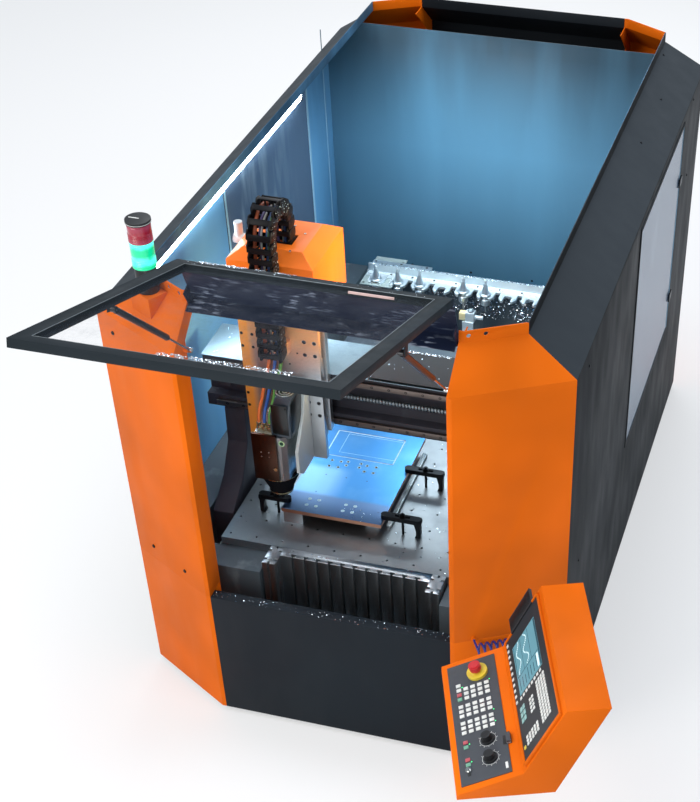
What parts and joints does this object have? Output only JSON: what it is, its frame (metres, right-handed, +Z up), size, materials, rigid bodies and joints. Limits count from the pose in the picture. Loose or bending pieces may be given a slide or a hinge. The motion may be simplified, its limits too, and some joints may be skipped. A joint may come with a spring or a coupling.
{
  "type": "cnc machining center",
  "caption": "Gantry milling machine in an eight-sided open-topped enclosure with a lifting glass door, tool rack, signal tower and a swivelling console.",
  "frame": {"origin": "on the floor, in the middle of the levelling feet's pattern", "axes": "+X to the machine's right as the operator faces it, +Y to its rear, +Z up"},
  "size_m": [1.9015, 3.6366, 2.1227],
  "materials": {
    "orange_paint": "satin powder coat",
    "anthracite_paint": "fine textured powder coat",
    "inner_paint": "satin powder coat",
    "black_frame": "satin",
    "clear_glass": "clear",
    "black_rubber": "matt",
    "steel": "ground",
    "cast_grey": "painted",
    "aluminium": "milled",
    "grey_sheet": "satin",
    "black_plastic": "matt",
    "grey_plastic": "matt",
    "white_plastic": "matt",
    "red_plastic": "gloss",
    "green_plastic": "gloss",
    "yellow_plastic": "gloss",
    "blue_rubber": "satin",
    "orange_rubber": "satin",
    "green_rubber": "satin",
    "screen": "gloss",
    "chrome": "polished"
  },
  "bodies": {
    "machine_frame": {"levelling_feet": "steel", "base_frame": "inner_paint", "front_apron": "anthracite_paint", "lower_corner_panels": "orange_paint", "front_pillar_left": "orange_paint", "front_pillar_right": "orange_paint", "rear_pillars": "orange_paint", "side_wall_left": "anthracite_paint", "side_wall_right": "anthracite_paint", "side_windows": "clear_glass", "window_seals": "black_rubber", "rear_panel": "anthracite_paint", "inner_back_wall": "inner_paint", "machine_table": "aluminium", "clamping_wall": "aluminium", "y_guides": "steel", "led_strip": "white_plastic", "tool_rack": "aluminium", "tool_holders": "steel", "tower_pedestal": "orange_paint", "tower_body": "black_plastic", "tower_green": "green_plastic", "tower_red": "red_plastic", "pendant_arm": "black_frame", "air_hose": "blue_rubber", "workpiece": "aluminium", "risers": "steel", "strap_clamps": "steel"},
    "gantry": {"gantry_legs": "anthracite_paint", "gantry_beam": "cast_grey", "beam_cover": "grey_sheet", "x_rails": "steel"},
    "ball_screw": {"x_screw": "steel"},
    "carriage": {"carriage_plate": "aluminium", "carriage_cover": "orange_paint", "z_chain": "black_plastic", "cable_glands": "chrome"},
    "spindle_slide": {"z_plate": "orange_paint", "spindle_bracket": "cast_grey", "spindle_body": "aluminium", "spindle_shield": "aluminium", "fan_cowl": "black_plastic", "hose_orange": "orange_rubber", "hose_blue": "blue_rubber", "hose_green": "green_rubber"},
    "spindle_rotor": {"spindle_tool": "steel"},
    "door": {"door_panel": "anthracite_paint", "door_frame": "black_frame", "door_glass": "clear_glass"},
    "gas_cylinders": {"strut_cylinders": "black_plastic"},
    "gas_rods": {"strut_rods": "chrome"},
    "console": {"pendant_housing": "orange_paint", "keypad_panel": "grey_plastic", "screen_panel": "grey_plastic", "display": "screen", "estop_collar": "yellow_plastic"},
    "stop_button": {"estop_button": "red_plastic"},
    "knob_rear": {"feed_knob_rear": "black_plastic"},
    "knob_front": {"feed_knob_front": "black_plastic"},
    "key": {"key_switch": "chrome"}
  },
  "joints": [
    {"name": "gantry_travel", "type": "slide", "parent": "machine_frame", "child": "gantry", "axis": [0, 1, 0], "range_m": [-0.13, 1.32]},
    {"name": "carriage_travel", "type": "slide", "parent": "gantry", "child": "carriage", "axis": [1, 0, 0], "range_m": [-0.055, 0.72]},
    {"name": "screw_spin", "type": "hinge", "parent": "gantry", "child": "ball_screw", "pos_m": [0, -0.709, 1.015], "axis": [1, 0, 0], "continuous": true},
    {"name": "z_travel", "type": "slide", "parent": "carriage", "child": "spindle_slide", "axis": [0, 0, 1], "range_m": [-0.045, 0.13], "deforming": ["z_chain"]},
    {"name": "spindle_spin", "type": "hinge", "parent": "spindle_slide", "child": "spindle_rotor", "pos_m": [-0.332, -0.921, 0.75], "axis": [0, 0, 1], "continuous": true},
    {"name": "door_swing", "type": "hinge", "parent": "machine_frame", "child": "door", "pos_m": [0, -1.236, 1.655], "axis": [1, 0, 0], "range_deg": [0, 107.2]},
    {"name": "strut_swing", "type": "hinge", "parent": "door", "child": "gas_cylinders", "pos_m": [0, -1.72766, 1.91711], "axis": [1, 0, 0], "range_deg": [0, 22.33]},
    {"name": "strut_stroke", "type": "slide", "parent": "gas_cylinders", "child": "gas_rods", "axis": [0, -0.7311, 0.6823], "range_m": [0, 0.13955]},
    {"name": "console_swivel", "type": "hinge", "parent": "machine_frame", "child": "console", "pos_m": [0.76987, -1.93821, 0.757], "axis": [0, 0, 1], "range_deg": [-60, 60]},
    {"name": "stop_press", "type": "slide", "parent": "console", "child": "stop_button", "axis": [0.3176, 0.1223, -0.9403], "range_m": [0, 0.005]},
    {"name": "knob_rear_turn", "type": "hinge", "parent": "console", "child": "knob_rear", "pos_m": [0.74663, -2.05003, 0.84814], "axis": [-0.3176, -0.1223, 0.9403], "range_deg": [-140, 140]},
    {"name": "knob_front_turn", "type": "hinge", "parent": "console", "child": "knob_front", "pos_m": [0.77323, -2.11909, 0.84814], "axis": [-0.3176, -0.1223, 0.9403], "range_deg": [-140, 140]},
    {"name": "key_turn", "type": "hinge", "parent": "console", "child": "key", "pos_m": [0.72202, -2.16666, 0.82466], "axis": [-0.3176, -0.1223, 0.9403], "range_deg": [0, 90]}
  ],
  "couplings": [
    {"joint": "screw_spin", "follows": "carriage_travel", "rad_per_m": 314.16},
    {"joint": "strut_swing", "follows": "door_swing", "ratio": 0.20815},
    {"joint": "strut_stroke", "follows": "door_swing", "m_per_rad": 0.074543}
  ]
}
